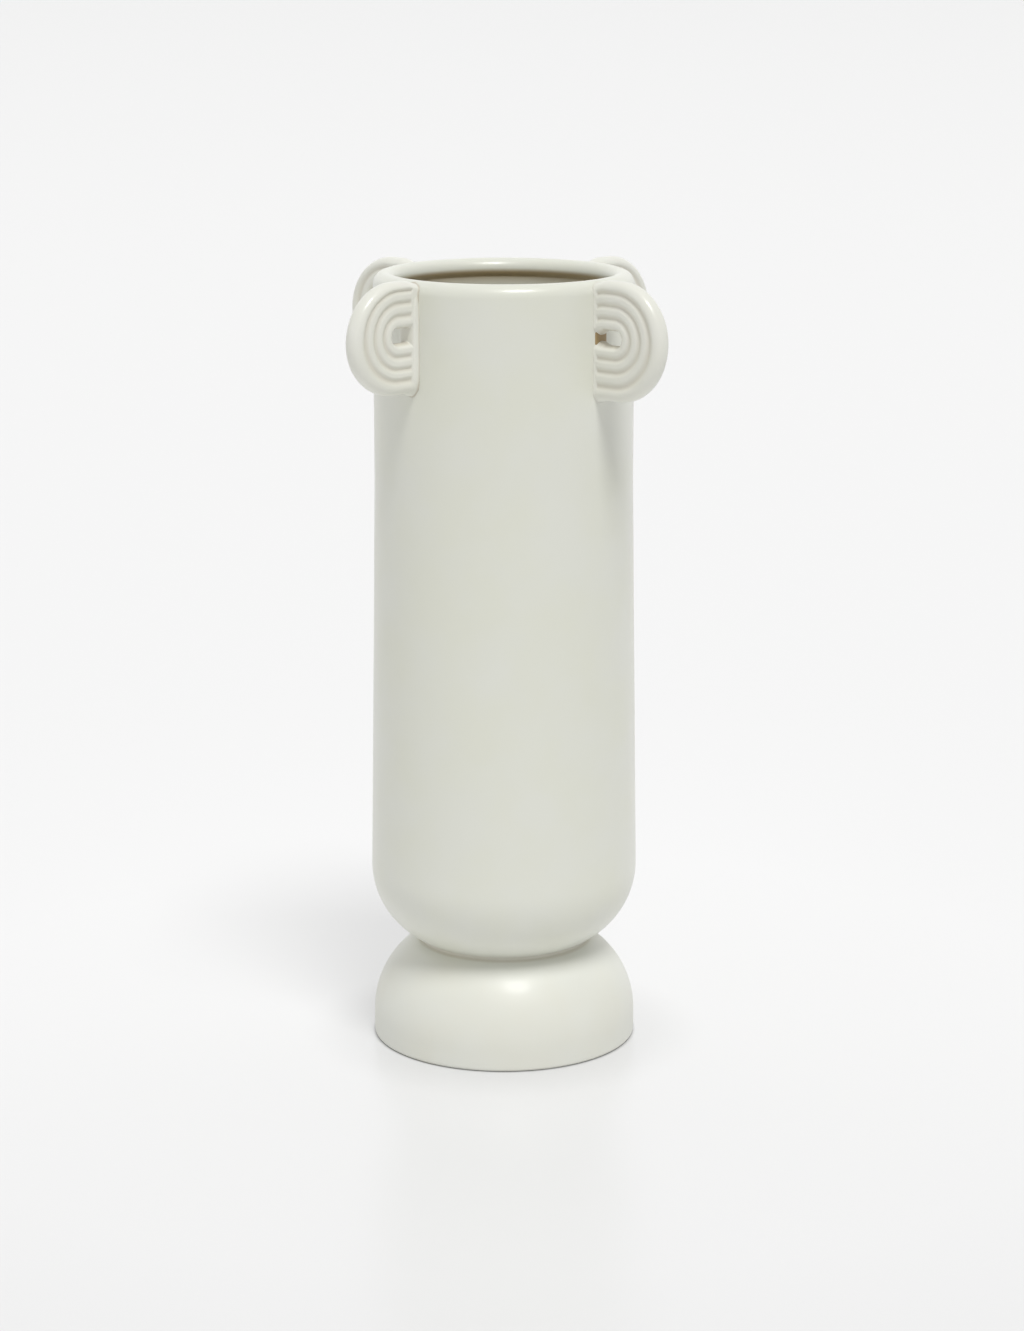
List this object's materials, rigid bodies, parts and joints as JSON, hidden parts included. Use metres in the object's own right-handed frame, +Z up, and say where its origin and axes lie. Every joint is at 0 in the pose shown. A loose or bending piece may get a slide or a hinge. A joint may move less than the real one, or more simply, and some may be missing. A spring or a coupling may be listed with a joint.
{
  "type": "footed vase with ribbed handles",
  "caption": "Tall round-bottomed cylinder vase with a wide mouth, on a hollow domed foot, with ribbed arch handles under the rim.",
  "frame": {"origin": "centre of the standing ring, on the surface that the vase stands on", "axes": "+Z up along the vase's axis, +X and +Y each through a handle, -Y through the front handle"},
  "size_m": [0.1344, 0.1344, 0.2506],
  "materials": {
    "vessel_glaze": "satin warm white glaze",
    "foot_glaze": "satin warm white glaze, bare clay on the standing ring",
    "handle_glaze": "glossier warm white glaze, thin over the ribs"
  },
  "bodies": {
    "root": {"vessel": "vessel_glaze", "pedestal_foot": "foot_glaze", "handle_front": "handle_glaze", "handle_right": "handle_glaze", "handle_back": "handle_glaze", "handle_left": "handle_glaze"}
  },
  "joints": []
}
